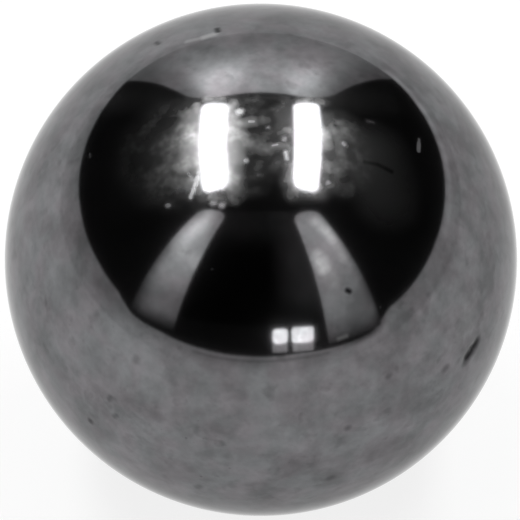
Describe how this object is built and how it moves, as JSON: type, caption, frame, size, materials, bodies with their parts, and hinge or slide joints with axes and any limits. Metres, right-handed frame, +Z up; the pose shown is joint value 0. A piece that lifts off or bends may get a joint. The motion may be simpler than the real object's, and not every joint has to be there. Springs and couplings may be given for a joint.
{
  "type": "steel ball",
  "caption": "Solid polished steel ball for a bearing, detent or check valve; it rolls in a race or seats in a cup or cone.",
  "frame": {"origin": "centre of the ball", "axes": "+Z up, away from the seat under the ball; +X to the right and +Y away from the viewer in the picture's view"},
  "size_m": [0.01, 0.01, 0.01],
  "materials": {
    "polished_steel": "lapped mirror polish, dark grey, with faint handling film and a few small marks"
  },
  "bodies": {
    "root": {"ball": "polished_steel"}
  },
  "joints": []
}
